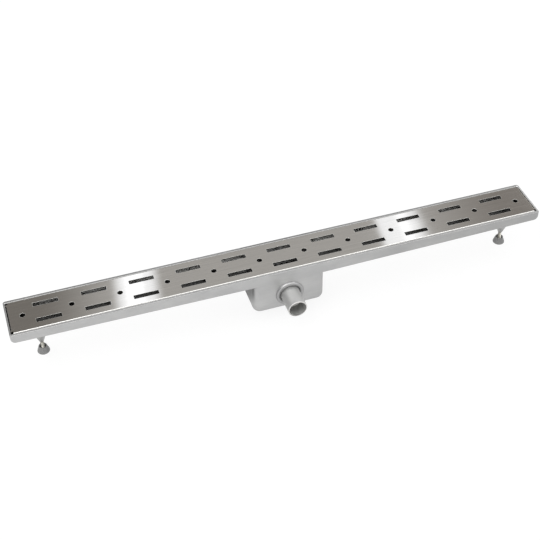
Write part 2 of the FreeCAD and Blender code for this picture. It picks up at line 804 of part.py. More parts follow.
def make_foot_bolt(label, place):
    """A set bolt, head down in the pad, its shank up through the neck."""
    body = new_body(label)
    head = new_sketch(body, f"{label}_head", "XY_Plane")
    hexagon(head, size.bolt_head_flats)
    extrude(body, "Pad", head, size.bolt_head_height, back=True)
    shank = new_sketch(body, f"{label}_shank", "XY_Plane")
    circle(shank, 0, 0, size.bolt_diameter / 2)
    rod = extrude(body, "Pad", shank, size.bolt_length)
    blend(
        body, "Chamfer", rod,
        lambda edge: spans(edge, "z", size.bolt_length, size.bolt_length),
        size.bolt_chamfer, f"{label}_end")
    move(body, x=place, z=bolt_seat)
    return body


def make_foot_pad(label, place):
    """A moulded pad with a socket that the bolt's head is pressed into."""
    body = new_body(label)
    section = new_sketch(body, f"{label}_section", "XZ_Plane")
    socket_floor = size.pad_floor + size.bolt_head_height
    outline(section, [
        (0, 0),
        (size.pad_base_radius, 0),
        (size.pad_base_radius, size.pad_base_rim),
        (size.pad_top_radius, size.pad_height),
        (size.pad_mouth_radius, size.pad_height),
        (size.pad_mouth_radius, socket_floor),
        (0, socket_floor),
    ])
    cone = turn(body, "Revolution", section, "V_Axis")
    blend(
        body, "Chamfer", cone,
        lambda edge: spans(edge, "z", 0, 0) and near(edge.BoundBox.XMax, size.pad_base_radius),
        size.pad_base_chamfer, f"{label}_base_edge")
    socket = new_sketch(body, f"{label}_socket", "XY_Plane", out=socket_floor)
    hexagon(socket, size.bolt_head_flats + size.pad_head_clearance * 2)
    extrude(body, "Pocket", socket, size.bolt_head_height + size.pad_head_clearance)
    move(body, x=place, z=-size.overall_height)
    return body


def make_feet():
    feet = []
    for side, place, turned in (("left", -foot_place, 180), ("right", foot_place, 0)):
        feet.append(make_foot_cone(f"foot_cone_{side}", place, turned))
        feet.append(make_foot_bolt(f"foot_bolt_{side}", place))
        feet.append(make_foot_pad(f"foot_pad_{side}", place))
    return feet


pieces = [make_channel_body(), make_outlet_pipe(), make_cover_plate()]
pieces += make_support_lugs()
pieces += [make_hair_strainer(), make_strainer_handle()]
pieces += [make_trap_elbow(), make_trap_seal(), make_rodding_plug()]
pieces += make_feet()
doc.recompute()

# Every object must be sound before any file is written
for item in doc.Objects:
    if "Invalid" in item.State or "Error" in item.State:
        raise RuntimeError(f"{item.Label} failed: {item.State}")
for piece in pieces:
    if piece.Shape.isNull() or not piece.Shape.isValid() or len(piece.Shape.Solids) != 1:
        raise RuntimeError(f"{piece.Label} is not one sound solid")

os.makedirs("parts", exist_ok=True)
for piece in pieces:
    piece.Shape.exportStep(os.path.join("parts", f"{piece.Label}.step"))
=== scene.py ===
"""Linear shower drain: stainless channel with a slotted brushed cover, sump, side outlet and feet."""
import math

import bpy
from mathutils import Matrix, Vector


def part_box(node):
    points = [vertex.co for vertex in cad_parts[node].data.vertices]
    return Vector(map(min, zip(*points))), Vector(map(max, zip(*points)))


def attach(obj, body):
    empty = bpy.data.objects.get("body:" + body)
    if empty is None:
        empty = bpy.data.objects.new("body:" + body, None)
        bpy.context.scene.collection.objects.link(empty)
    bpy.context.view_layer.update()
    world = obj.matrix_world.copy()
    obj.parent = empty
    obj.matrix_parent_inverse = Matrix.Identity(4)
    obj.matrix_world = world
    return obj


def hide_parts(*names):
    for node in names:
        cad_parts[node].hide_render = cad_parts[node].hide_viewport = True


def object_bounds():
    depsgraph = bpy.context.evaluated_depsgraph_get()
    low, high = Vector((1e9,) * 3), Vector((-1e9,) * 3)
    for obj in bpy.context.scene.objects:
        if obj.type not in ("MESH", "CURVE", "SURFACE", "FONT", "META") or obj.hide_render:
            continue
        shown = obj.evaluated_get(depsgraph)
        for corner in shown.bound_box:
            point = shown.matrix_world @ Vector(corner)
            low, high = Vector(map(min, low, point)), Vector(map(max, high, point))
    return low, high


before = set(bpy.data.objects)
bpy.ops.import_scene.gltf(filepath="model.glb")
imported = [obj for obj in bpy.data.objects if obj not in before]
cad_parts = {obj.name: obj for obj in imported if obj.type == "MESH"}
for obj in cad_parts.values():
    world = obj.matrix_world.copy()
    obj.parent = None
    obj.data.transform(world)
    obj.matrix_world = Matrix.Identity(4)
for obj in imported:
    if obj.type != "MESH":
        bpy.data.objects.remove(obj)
cad_low, cad_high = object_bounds()


# Channel and sump. The long tray is pressed from one stainless sheet, with its rim folded over
# and its middle drawn down to the sump and the outlet's collar, then pickled to an even satin.
# The folded rim is polished a little by handling.
def new_finish(name, metallic):
    """Start a surface finish; gives the material, its node tree and its surface shader."""
    finish = bpy.data.materials.new(name)
    finish.use_nodes = True
    tree = finish.node_tree
    shader = tree.nodes["Principled BSDF"]
    shader.inputs["Metallic"].default_value = metallic
    return finish, tree, shader


def add_node(tree, kind, **settings):
    """Add a shader node of that kind with those settings."""
    made = tree.nodes.new(kind)
    for setting, value in settings.items():
        setattr(made, setting, value)
    return made


def place_on_piece(tree):
    """The place on the piece, in metres, as x, y and z sockets."""
    coordinates = add_node(tree, "ShaderNodeTexCoord")
    parts = add_node(tree, "ShaderNodeSeparateXYZ")
    tree.links.new(coordinates.outputs["Object"], parts.inputs[0])
    return parts.outputs


def mottle(tree, grain_size, detail=2.0):
    """Noise whose grains are that long, wide and high, in metres; gives its value from 0 to 1."""
    coordinates = add_node(tree, "ShaderNodeTexCoord")
    stretch = add_node(tree, "ShaderNodeMapping")
    stretch.inputs["Scale"].default_value = [1 / size for size in grain_size]
    noise = add_node(tree, "ShaderNodeTexNoise")
    noise.inputs["Scale"].default_value = 1.0
    noise.inputs["Detail"].default_value = detail
    tree.links.new(coordinates.outputs["Object"], stretch.inputs["Vector"])
    tree.links.new(stretch.outputs["Vector"], noise.inputs["Vector"])
    return noise.outputs["Fac"]


def ramp_between(tree, value, start, end, low=0.0, high=1.0):
    """Turn a value that runs from start to end into one from low to high, with a soft ease."""
    step = add_node(tree, "ShaderNodeMapRange", interpolation_type="SMOOTHSTEP")
    tree.links.new(value, step.inputs["Value"])
    for name, number in (("From Min", start), ("From Max", end), ("To Min", low), ("To Max", high)):
        step.inputs[name].default_value = number
    return step.outputs["Result"]


def reckon(tree, operation, first, second=None):
    """One sum on sockets or numbers, such as ADD, MULTIPLY or MAXIMUM."""
    sum_node = add_node(tree, "ShaderNodeMath", operation=operation)
    for slot_index, term in enumerate((first, second)):
        if term is None:
            continue
        if isinstance(term, (int, float)):
            sum_node.inputs[slot_index].default_value = term
        else:
            tree.links.new(term, sum_node.inputs[slot_index])
    return sum_node.outputs[0]


def joint_share(tree, *shares):
    """The product of shares from 0 to 1: it is 1 only where all of them are."""
    together = shares[0]
    for share in shares[1:]:
        together = reckon(tree, "MULTIPLY", together, share)
    return together


def weighed(tree, first, first_weight, second, second_weight):
    """The sum of two sockets, each times its weight."""
    return reckon(
        tree, "ADD",
        reckon(tree, "MULTIPLY", first, first_weight), reckon(tree, "MULTIPLY", second, second_weight))


def blend_colours(tree, share, first, second):
    """Mix two colours, each an (r, g, b) or a socket, by a share from 0 to 1."""
    mix = add_node(tree, "ShaderNodeMix", data_type="RGBA")
    tree.links.new(share, mix.inputs["Factor"])
    for name, colour in (("A", first), ("B", second)):
        socket = next(s for s in mix.inputs if s.name == name and s.type == "RGBA")
        if isinstance(colour, tuple):
            socket.default_value = (*colour, 1.0)
        else:
            tree.links.new(colour, socket)
    return next(s for s in mix.outputs if s.type == "RGBA")


def emboss(tree, shader, height, depth):
    """Bump the surface by a height times that depth; the product is in metres."""
    bump = add_node(tree, "ShaderNodeBump")
    bump.inputs["Strength"].default_value = 1.0
    bump.inputs["Distance"].default_value = depth
    tree.links.new(height, bump.inputs["Height"])
    tree.links.new(bump.outputs["Normal"], shader.inputs["Normal"])


grain_height = 0.00004


def satin_sheet(tree, dark, light, rolled_along):
    """Pickled sheet's colour, roughness and height: even satin, a fine roll grain and faint clouds."""
    clouds = mottle(tree, (0.060, 0.030, 0.030), 3.0)
    grain = mottle(tree, rolled_along, 2.0)
    pickle = mottle(tree, (0.0007, 0.0007, 0.0007), 2.0)
    shade = weighed(tree, clouds, 0.6, grain, 0.4)
    sheet = blend_colours(tree, ramp_between(tree, shade, 0.30, 0.70), dark, light)
    rough = ramp_between(tree, reckon(tree, "MULTIPLY", pickle, grain), 0.10, 0.45, 0.38, 0.50)
    surface = weighed(tree, pickle, 0.6, grain, 0.4)
    return sheet, rough, reckon(tree, "MULTIPLY", surface, grain_height)


def plain_sheet_finish(name, dark, light, rolled_along):
    """Satin sheet alike all over."""
    finish, tree, shader = new_finish(name, 1.0)
    sheet, rough, surface = satin_sheet(tree, dark, light, rolled_along)
    tree.links.new(sheet, shader.inputs["Base Color"])
    tree.links.new(rough, shader.inputs["Roughness"])
    emboss(tree, shader, surface, 1.0)
    return finish


def wear_finish(piece, finish):
    """Give a piece that one finish all over."""
    piece.data.materials.clear()
    piece.data.materials.append(finish)


satin_stainless, tree, shader = new_finish("satin_stainless", 1.0)
x, y, z = place_on_piece(tree)
lengthways = reckon(tree, "ABSOLUTE", x)
sideways = reckon(tree, "ABSOLUTE", y)
wall_inner_face, wall_outer_face = 0.0388, 0.0400
# Painted shade: the sheet's two colours are painted darker from just left of the middle towards the right
# end.
to_the_right = ramp_between(tree, x, -0.08, 0.40)
darker_grain = blend_colours(tree, to_the_right, (0.465, 0.465, 0.465), (0.37, 0.37, 0.37))
lighter_grain = blend_colours(tree, to_the_right, (0.55, 0.55, 0.545), (0.435, 0.435, 0.43))
colour, rough, surface = satin_sheet(tree, darker_grain, lighter_grain, (0.030, 0.0006, 0.0006))
# The rim's top is polished by handling: a paler, even grey and a little smoother. The same mask also
# carries the painted shade on the rim's outer edges below.
worn_rim = ramp_between(tree, z, -0.0016, -0.0002, 0.0, 0.6)
colour = blend_colours(tree, worn_rim, colour, (0.48, 0.477, 0.47))

# The inside shows only through the cover and carries painted light and shade: painted shade where the round
# holes show it and painted light where the back slots do. The mask ends just over the floor's underside,
# which rises from the middle to both ends.
middle_depth, slope = 0.02367, 0.0126
underside = reckon(tree, "SUBTRACT", reckon(tree, "MULTIPLY", lengthways, slope), middle_depth)
inside = joint_share(
    tree,
    ramp_between(tree, sideways, wall_inner_face + 0.0004, wall_inner_face - 0.0002),
    ramp_between(tree, z, -0.0030, -0.0060),
    ramp_between(tree, reckon(tree, "SUBTRACT", z, underside), 0.0008, 0.0011),
    ramp_between(tree, lengthways, 0.4430, 0.4415))
under_holes = ramp_between(tree, y, -0.002, 0.010)
inner = blend_colours(tree, under_holes, (0.42, 0.425, 0.415), (0.17, 0.17, 0.165))
under_back_slots = ramp_between(tree, y, 0.025, 0.032)
inner = blend_colours(tree, under_back_slots, inner, (0.78, 0.785, 0.77))
colour = blend_colours(tree, inside, colour, inner)

# The gap round the cover is painted: a painted highlight in front, painted shade behind, and painted light
# at the right end, where it lightens the dark gap.
gap_inner, gap_outer = 0.0346, 0.0362
groove = joint_share(
    tree,
    ramp_between(tree, sideways, gap_outer + 0.0008, gap_outer),
    ramp_between(tree, sideways, gap_inner - 0.0006, gap_inner),
    ramp_between(tree, z, -0.0022, -0.0018),
    ramp_between(tree, lengthways, 0.4468, 0.4462))
back_half = ramp_between(tree, y, -0.001, 0.001)
groove_colour = blend_colours(tree, back_half, (0.86, 0.86, 0.85), (0.34, 0.34, 0.335))
colour = blend_colours(tree, groove, colour, groove_colour)
seat_start, seat_end = 0.4456, 0.4480
right_seat = joint_share(
    tree,
    ramp_between(tree, x, seat_start - 0.0006, seat_start),
    ramp_between(tree, x, seat_end + 0.0006, seat_end),
    ramp_between(tree, sideways, 0.0366, 0.0360),
    ramp_between(tree, z, -0.0050, -0.0040))
colour = blend_colours(tree, right_seat, colour, (0.90, 0.90, 0.89))

# Painted shade: the sump's left wall is painted dark where it meets the channel, a painted shadow under the
# channel, and the collar and the rim's outer edges are painted a deeper grey than the sheet, painted shade
# over their highlights.
sump_left_wall = -0.0600
up_and_back = reckon(tree, "ADD", z, y)
sump_left = joint_share(
    tree,
    ramp_between(tree, x, sump_left_wall + 0.0040, sump_left_wall),
    ramp_between(tree, y, -0.0385, -0.0320),
    ramp_between(tree, z, -0.0232, -0.0245, 0.0, 0.85),
    ramp_between(tree, up_and_back, -0.098, -0.066))
colour = blend_colours(tree, sump_left, colour, (0.12, 0.12, 0.12))
# Painted shade: the collar, everything standing in front of the front face, is painted a deeper grey, which
# dims its highlight.
collar = ramp_between(tree, y, -wall_outer_face - 0.0002, -wall_outer_face - 0.0006, 0.0, 0.8)
colour = blend_colours(tree, collar, colour, (0.36, 0.36, 0.36))
# Painted shade: the rim's outer edges are painted a deeper grey, which dims their highlight.
outer_edge = joint_share(tree, worn_rim, ramp_between(tree, sideways, 0.0382, 0.0390))
colour = blend_colours(tree, outer_edge, colour, (0.28, 0.28, 0.28))
tree.links.new(colour, shader.inputs["Base Color"])
smoothed = reckon(tree, "SUBTRACT", rough, reckon(tree, "MULTIPLY", worn_rim, 0.10))
smoothed = reckon(tree, "ADD", smoothed, reckon(tree, "MULTIPLY", inside, 0.20))
tree.links.new(smoothed, shader.inputs["Roughness"])

# The shading alone crowns the rim faintly and coves the back wall over the sump's mouth.
rim_middle, crown_slope = 0.0352, -0.05
mouth_depth, cove_height, cove_slope = 0.0235, 0.008, -0.7
flatter = reckon(tree, "SUBTRACT", 1.0, reckon(tree, "MULTIPLY", inside, 0.85))
surface = reckon(tree, "MULTIPLY", surface, flatter)
past_rim_middle = reckon(tree, "MAXIMUM", reckon(tree, "SUBTRACT", sideways, rim_middle), 0.0)
crown = reckon(tree, "MULTIPLY", past_rim_middle, crown_slope)
mouth = joint_share(
    tree,
    ramp_between(tree, lengthways, 0.060, 0.045),
    ramp_between(tree, y, wall_inner_face - 0.0012, wall_inner_face - 0.0006),
    ramp_between(tree, y, wall_outer_face - 0.0004, wall_outer_face - 0.0008))
over_edge = reckon(tree, "MAXIMUM", reckon(tree, "ADD", z, mouth_depth), 0.0)
over_edge = reckon(tree, "MINIMUM", over_edge, cove_height)
cove = reckon(tree, "MULTIPLY", reckon(tree, "MULTIPLY", over_edge, mouth), cove_slope)
surface = reckon(tree, "ADD", surface, reckon(tree, "ADD", crown, cove))
emboss(tree, shader, surface, 1.0)
wear_finish(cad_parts["channel_body"], satin_stainless)


# Support lugs. Fourteen small angles cut from the same sheet, spot-welded inside the channel's
# long walls, carry the cover at seven places along each side.
lug_stainless = plain_sheet_finish(
    "lug_stainless", (0.36, 0.36, 0.36), (0.44, 0.44, 0.43), (0.0006, 0.030, 0.0006))
for row in ("back", "front"):
    for place in range(1, 8):
        wear_finish(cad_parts[f"support_lug_{row}_{place}"], lug_stainless)


# Outlet pipe. A short piece of drawn stainless tube, its end trimmed square on a lathe, butted on
# the sump's collar and welded all round; the weld is a fine rippled ring, pickled grey.
def pipe_finish(name):
    """Drawn tube: fine rings round it, a rippled weld at its root and a bright trimmed end."""
    finish, tree, shader = new_finish(name, 1.0)
    x, y, z = place_on_piece(tree)
    pipe_low, pipe_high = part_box("outlet_pipe")
    axis_height = (pipe_low.z + pipe_high.z) / 2
    mouth, root = pipe_low.y, pipe_high.y
    rings = mottle(tree, (0.050, 0.0005, 0.050), 2.0)
    clouds = mottle(tree, (0.015, 0.015, 0.015), 2.0)
    shade = weighed(tree, rings, 0.5, clouds, 0.5)
    tube = blend_colours(
        tree, ramp_between(tree, shade, 0.30, 0.70), (0.57, 0.57, 0.565), (0.65, 0.65, 0.64))
    weld_share = ramp_between(tree, y, root - 0.0022, root - 0.0010)
    trimmed = ramp_between(tree, y, mouth + 0.0008, mouth, 0.0, 0.7)
    colour = blend_colours(tree, weld_share, tube, (0.36, 0.36, 0.355))
    aside = reckon(tree, "MULTIPLY", x, x)
    rise = reckon(tree, "SUBTRACT", z, axis_height)
    from_axis = reckon(tree, "SQRT", reckon(tree, "ADD", aside, reckon(tree, "MULTIPLY", rise, rise)))
    tube_radius = 0.016
    # Painted light and shade: the tube's inside is painted pale near the mouth and darker the deeper it
    # goes.
    in_bore = ramp_between(tree, from_axis, tube_radius - 0.0004, tube_radius - 0.0008)
    deep = ramp_between(tree, y, mouth + 0.002, mouth + 0.020)
    bore = blend_colours(tree, deep, (0.74, 0.74, 0.73), (0.34, 0.34, 0.335))
    colour = blend_colours(tree, in_bore, colour, bore)
    colour = blend_colours(tree, trimmed, colour, (0.74, 0.73, 0.71))
    tree.links.new(colour, shader.inputs["Base Color"])
    tree.links.new(ramp_between(tree, shade, 0.2, 0.8, 0.50, 0.60), shader.inputs["Roughness"])
    around = reckon(tree, "ARCTAN2", x, rise)
    ripples_in_turn = 60.0
    ring_height = 0.00003
    ripple_to_ring = 3.0
    ripple = reckon(tree, "SINE", reckon(tree, "MULTIPLY", around, ripples_in_turn))
    ripple = reckon(tree, "MULTIPLY", reckon(tree, "MULTIPLY", ripple, weld_share), ripple_to_ring)
    emboss(tree, shader, reckon(tree, "ADD", rings, ripple), ring_height)
    return finish


wear_finish(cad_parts["outlet_pipe"], pipe_finish("pipe_stainless"))


# Foot cones. Two funnels pressed from stainless sheet, welded by their flanges under the channel's
# ends; the neck is tapped for the levelling bolt. The press leaves faint rings round them.
def round_finish(name, dark, light, ring_spacing, rough_low, rough_high, metallic=1.0):
    """A turned, drawn or moulded round piece about an upright axis, with faint rings round it."""
    finish, tree, shader = new_finish(name, metallic)
    rings = mottle(tree, (0.050, 0.050, ring_spacing), 2.0)
    clouds = mottle(tree, (0.006, 0.006, 0.006), 3.0)
    shade = weighed(tree, rings, 0.5, clouds, 0.5)
    colour = blend_colours(tree, ramp_between(tree, shade, 0.30, 0.70), dark, light)
    tree.links.new(colour, shader.inputs["Base Color"])
    tree.links.new(ramp_between(tree, shade, 0.2, 0.8, rough_low, rough_high), shader.inputs["Roughness"])
    emboss(tree, shader, shade, grain_height)
    return finish


cone_finish = round_finish(
    "cone_steel", (0.38, 0.38, 0.375), (0.47, 0.47, 0.46), 0.0008, 0.36, 0.48)
for side in ("left", "right"):
    wear_finish(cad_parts[f"foot_cone_{side}"], cone_finish)


# Levelling bolts. Zinc-plated M6 hexagon bolts, head down in the foot pad, screwed up into the
# cone's neck. The rolled thread has a 1 mm pitch; the plating is bright and slightly yellow.
thread_pitch = 0.001
thread_depth = 0.00061
steps_in_turn = 28
shank_radius = 0.003
head_height = 0.004
head_chamfer = 0.0004


def select_only(piece):
    """Leave that one piece selected and active."""
    bpy.ops.object.select_all(action="DESELECT")
    piece.select_set(True)
    bpy.context.view_layer.objects.active = piece


def threaded_shank(centre, bottom, top, radius):
    """A closed rod with a rolled thread: one pitch of its profile, screwed up the shank."""
    core_radius = radius - thread_depth
    crest_start, crest_end = 0.44 * thread_pitch, 0.56 * thread_pitch
    profile = [(core_radius, 0.0), (radius, crest_start), (core_radius, thread_pitch), (radius, crest_end)]
    bpy.ops.object.select_all(action="DESELECT")
    bpy.ops.mesh.primitive_plane_add(size=thread_pitch)
    shank = bpy.context.active_object
    bpy.ops.object.mode_set(mode="EDIT")
    bpy.ops.mesh.delete(type="ONLY_FACE")
    bpy.ops.mesh.select_all(action="DESELECT")
    bpy.ops.object.mode_set(mode="OBJECT")
    for corner, (across, rise) in zip(shank.data.vertices, profile):
        corner.co = (across, 0.0, rise)
    bpy.ops.object.mode_set(mode="EDIT")
    bpy.ops.mesh.select_mode(type="EDGE")
    bpy.ops.object.mode_set(mode="OBJECT")
    for edge in shank.data.edges:
        edge.select = sorted(edge.vertices) == [0, 2]
    bpy.ops.object.mode_set(mode="EDIT")
    bpy.ops.mesh.delete(type="EDGE")
    bpy.ops.object.mode_set(mode="OBJECT")
    thread = shank.modifiers.new("thread", "SCREW")
    thread.axis = "Z"
    thread.steps = steps_in_turn
    thread.render_steps = steps_in_turn
    thread.screw_offset = thread_pitch
    thread.iterations = round((top - bottom) / thread_pitch) - 1
    bpy.ops.object.modifier_apply(modifier="thread")
    bpy.ops.object.mode_set(mode="EDIT")
    bpy.ops.mesh.select_all(action="SELECT")
    bpy.ops.mesh.remove_doubles(threshold=0.00001)
    bpy.ops.mesh.fill_holes(sides=0)
    bpy.ops.mesh.normals_make_consistent(inside=False)
    bpy.ops.transform.translate(value=(centre.x, centre.y, bottom))
    bpy.ops.object.mode_set(mode="OBJECT")
    bpy.ops.object.shade_smooth_by_angle(angle=math.radians(25))
    return shank


def hexagon_head(centre, bottom, height, across_corners):
    """The bolt's head, with its corners chamfered top and bottom."""
    bpy.ops.object.select_all(action="DESELECT")
    bpy.ops.mesh.primitive_cylinder_add(
        vertices=6, radius=across_corners / 2, depth=height,
        location=(centre.x, centre.y, bottom + height / 2), rotation=(0, 0, math.radians(90)))
    head = bpy.context.active_object
    bpy.ops.object.transform_apply(location=True, rotation=True, scale=True)
    bpy.ops.object.mode_set(mode="EDIT")
    bpy.ops.mesh.select_mode(type="FACE")
    bpy.ops.mesh.select_all(action="DESELECT")
    bpy.ops.object.mode_set(mode="OBJECT")
    for face in head.data.polygons:
        face.select = abs(face.normal.z) > 0.9
    bpy.ops.object.mode_set(mode="EDIT")
    bpy.ops.mesh.bevel(offset=head_chamfer, segments=1, affect="EDGES")
    bpy.ops.object.mode_set(mode="OBJECT")
    return head


bolt_finish = round_finish(
    "bolt_zinc", (0.56, 0.545, 0.49), (0.68, 0.665, 0.61), 0.0004, 0.26, 0.40)
for side in ("left", "right"):
    low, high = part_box(f"foot_bolt_{side}")
    middle = (low + high) / 2
    head = hexagon_head(middle, low.z, head_height, high.x - low.x)
    overlap = thread_pitch
    shank = threaded_shank(middle, low.z + head_height - overlap, high.z, shank_radius)
    select_only(shank)
    head.select_set(True)
    bpy.ops.object.join()
    shank.name = f"levelling_bolt_{side}"
    wear_finish(shank, bolt_finish)
    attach(shank, f"foot_{side}")
    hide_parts(f"foot_bolt_{side}")


# Foot pads. Grey moulded plastic cups clipped over the bolts' heads, with faint rings round them.
pad_finish = round_finish(
    "pad_plastic", (0.30, 0.30, 0.30), (0.36, 0.36, 0.355), 0.0006, 0.42, 0.55, 0.0)
for side in ("left", "right"):
    wear_finish(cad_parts[f"foot_pad_{side}"], pad_finish)


# Odour trap. A moulded elbow pushed with a rubber ring into the pipe, and a plug for rodding in
# its top; both are injection-moulded, with a light spark-eroded texture.
def moulded_finish(name, dark, light, rough_low, rough_high):
    """Moulded plastic or rubber: soft clouds of shade over a fine, even texture."""
    finish, tree, shader = new_finish(name, 0.0)
    clouds = mottle(tree, (0.012, 0.012, 0.012), 3.0)
    texture = mottle(tree, (0.0009, 0.0009, 0.0009), 2.0)
    colour = blend_colours(tree, ramp_between(tree, clouds, 0.3, 0.7), dark, light)
    tree.links.new(colour, shader.inputs["Base Color"])
    tree.links.new(ramp_between(tree, texture, 0.3, 0.7, rough_low, rough_high), shader.inputs["Roughness"])
    emboss(tree, shader, texture, grain_height)
    return finish


wear_finish(
    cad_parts["trap_elbow"],
    moulded_finish("trap_plastic", (0.70, 0.70, 0.67), (0.80, 0.80, 0.77), 0.38, 0.50))
wear_finish(
    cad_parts["rodding_plug"],
    moulded_finish("plug_plastic", (0.035, 0.10, 0.28), (0.05, 0.13, 0.34), 0.36, 0.48))
wear_finish(
    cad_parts["trap_seal"],
    moulded_finish("seal_rubber", (0.020, 0.020, 0.020), (0.035, 0.035, 0.034), 0.55, 0.70))


# Hair strainer. A perforated plate of stainless sheet that lies loose over the sump, with a wire handle
# welded across it. It has a short roll grain; its sheet is painted darker than the channel's, painted shade
# under the cover, and paler at the back, painted light where the back slots let it in.
strainer_finish, tree, shader = new_finish("strainer_stainless", 1.0)
y = place_on_piece(tree)["Y"]
sheet, rough, surface = satin_sheet(
    tree, (0.30, 0.30, 0.295), (0.36, 0.36, 0.35), (0.012, 0.0007, 0.0007))
# Painted light: the back edge is painted pale where the back slots let light in.
paler_back = ramp_between(tree, y, 0.025, 0.031, 0.0, 0.8)
colour = blend_colours(tree, paler_back, sheet, (0.85, 0.85, 0.84))
tree.links.new(colour, shader.inputs["Base Color"])
tree.links.new(reckon(tree, "ADD", rough, 0.12), shader.inputs["Roughness"])
emboss(tree, shader, surface, 0.5)
for part in ("hair_strainer", "strainer_handle"):
    wear_finish(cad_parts[part], strainer_finish)


# Cover. One stainless sheet folded down at its edges, punched with slots and round holes, and belt-brushed
# along its length. Narrow lips round the holes and the long bends are painted bright, a painted highlight,
# and the walls in the holes are painted near black, painted shade.
channel_low, channel_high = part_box("channel_body")
hole_count = 12
hole_end_distance = 0.02573
hole_pitch = (channel_high.x - channel_low.x - 2 * hole_end_distance) / (hole_count - 1)
hole_radius = 0.00425
slot_half_length = 0.020
slot_half_width = 0.004
slot_row_offset = 0.0179
lip_width = 0.0009
bend_start, bend_end = 0.0334, 0.0340


def distance_to_holes(tree, x, y):
    """How far a place on the cover is from the nearest slot or round hole, in metres."""
    steps = reckon(tree, "DIVIDE", x, hole_pitch)
    off_slot = reckon(tree, "SUBTRACT", steps, reckon(tree, "ROUND", steps))
    from_slot_middle = reckon(tree, "MULTIPLY", off_slot, hole_pitch)
    from_slot_middle = reckon(tree, "ABSOLUTE", from_slot_middle)
    past_slot_end = reckon(tree, "SUBTRACT", from_slot_middle, slot_half_length)
    from_row = reckon(tree, "SUBTRACT", reckon(tree, "ABSOLUTE", y), slot_row_offset)
    from_row = reckon(tree, "ABSOLUTE", from_row)
    past_slot_side = reckon(tree, "SUBTRACT", from_row, slot_half_width)
    to_slot = reckon(tree, "MAXIMUM", past_slot_end, past_slot_side)
    slots_end = hole_pitch * (hole_count - 1) / 2
    beyond_slots = reckon(tree, "GREATER_THAN", reckon(tree, "ABSOLUTE", x), slots_end)
    to_slot = reckon(tree, "ADD", to_slot, beyond_slots)
    half_steps = reckon(tree, "SUBTRACT", steps, 0.5)
    off_hole = reckon(tree, "SUBTRACT", half_steps, reckon(tree, "ROUND", half_steps))
    from_hole = reckon(tree, "MULTIPLY", off_hole, hole_pitch)
    squares = reckon(
        tree, "ADD", reckon(tree, "MULTIPLY", from_hole, from_hole), reckon(tree, "MULTIPLY", y, y))
    to_hole = reckon(tree, "SUBTRACT", reckon(tree, "SQRT", squares), hole_radius)
    return reckon(tree, "MINIMUM", to_slot, to_hole)


brushed_stainless, tree, shader = new_finish("brushed_stainless", 1.0)
x, y, z = place_on_piece(tree)
hairs = mottle(tree, (0.045, 0.00035, 0.00035), 2.0)
strokes = mottle(tree, (0.16, 0.0016, 0.0016), 2.0)
brushing = weighed(tree, hairs, 0.55, strokes, 0.45)
steel = blend_colours(
    tree, ramp_between(tree, brushing, 0.32, 0.68), (0.565, 0.541, 0.505), (0.655, 0.627, 0.585))
to_nearest = distance_to_holes(tree, x, y)
# Painted highlight: a narrow band round every hole and the long bends are painted bright.
lip = ramp_between(tree, to_nearest, lip_width, lip_width * 0.3, 0.0, 0.8)
bend = ramp_between(tree, reckon(tree, "ABSOLUTE", y), bend_start, bend_end)
lip = reckon(tree, "MAXIMUM", lip, bend)
near_hole = ramp_between(tree, to_nearest, 0.0012, 0.0008)
# Painted shade: the walls and chamfers in the holes are painted near black.
cut_wall = joint_share(tree, near_hole, ramp_between(tree, z, -0.00004, -0.00012))
steel = blend_colours(tree, lip, steel, (0.92, 0.91, 0.89))
steel = blend_colours(tree, cut_wall, steel, (0.07, 0.07, 0.065))
tree.links.new(steel, shader.inputs["Base Color"])
smooth = ramp_between(tree, brushing, 0.3, 0.7, 0.045, 0.065)
tree.links.new(reckon(tree, "ADD", smooth, reckon(tree, "MULTIPLY", lip, 0.25)), shader.inputs["Roughness"])
shader.inputs["Anisotropic"].default_value = 1.0
across_brushing = add_node(tree, "ShaderNodeCombineXYZ")
across_brushing.inputs["Y"].default_value = 1.0
tree.links.new(across_brushing.outputs["Vector"], shader.inputs["Tangent"])
stroke_height = 0.0000015
emboss(tree, shader, strokes, stroke_height)
wear_finish(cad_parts["cover_plate"], brushed_stainless)


# Studio. A pale floor at the feet's lowest reach, even white light from all round, a softbox over the
# front left, and cards that only the steel mirrors.
foot_travel = 0.020
floor_level = cad_low.z - foot_travel


def seen_share(tree, light_path):
    """1 for what the eye sees straight, in a mirror or through glass; 0 for what only lights."""
    seen = reckon(tree, "MAXIMUM", light_path.outputs["Is Camera Ray"], light_path.outputs["Is Glossy Ray"])
    return reckon(tree, "MAXIMUM", seen, light_path.outputs["Is Transmission Ray"])


bpy.ops.object.select_all(action="DESELECT")
bpy.ops.mesh.primitive_plane_add(size=40.0, location=(0, 0, floor_level))
floor = bpy.context.active_object
floor.name = "studio_floor"
floor_finish, tree, shader = new_finish("studio_floor", 0.0)
shader.inputs["Roughness"].default_value = 0.9
shader.inputs["Specular IOR Level"].default_value = 0.0
shader.inputs["Emission Color"].default_value = (1.0, 1.0, 1.0, 1.0)
light_path = add_node(tree, "ShaderNodeLightPath")
mirrored = light_path.outputs["Is Glossy Ray"]
floor_colour = blend_colours(tree, mirrored, (0.22, 0.22, 0.22), (0.55, 0.55, 0.55))
tree.links.new(floor_colour, shader.inputs["Base Color"])
own_glow = weighed(tree, seen_share(tree, light_path), 0.83, mirrored, -0.35)
tree.links.new(own_glow, shader.inputs["Emission Strength"])
wear_finish(floor, floor_finish)

# The cards: one over the back, dim at both ends with two bright windows, a bright one overhead, and
# dim ones low behind, on the ground behind and at the left.
card_height = 3.5


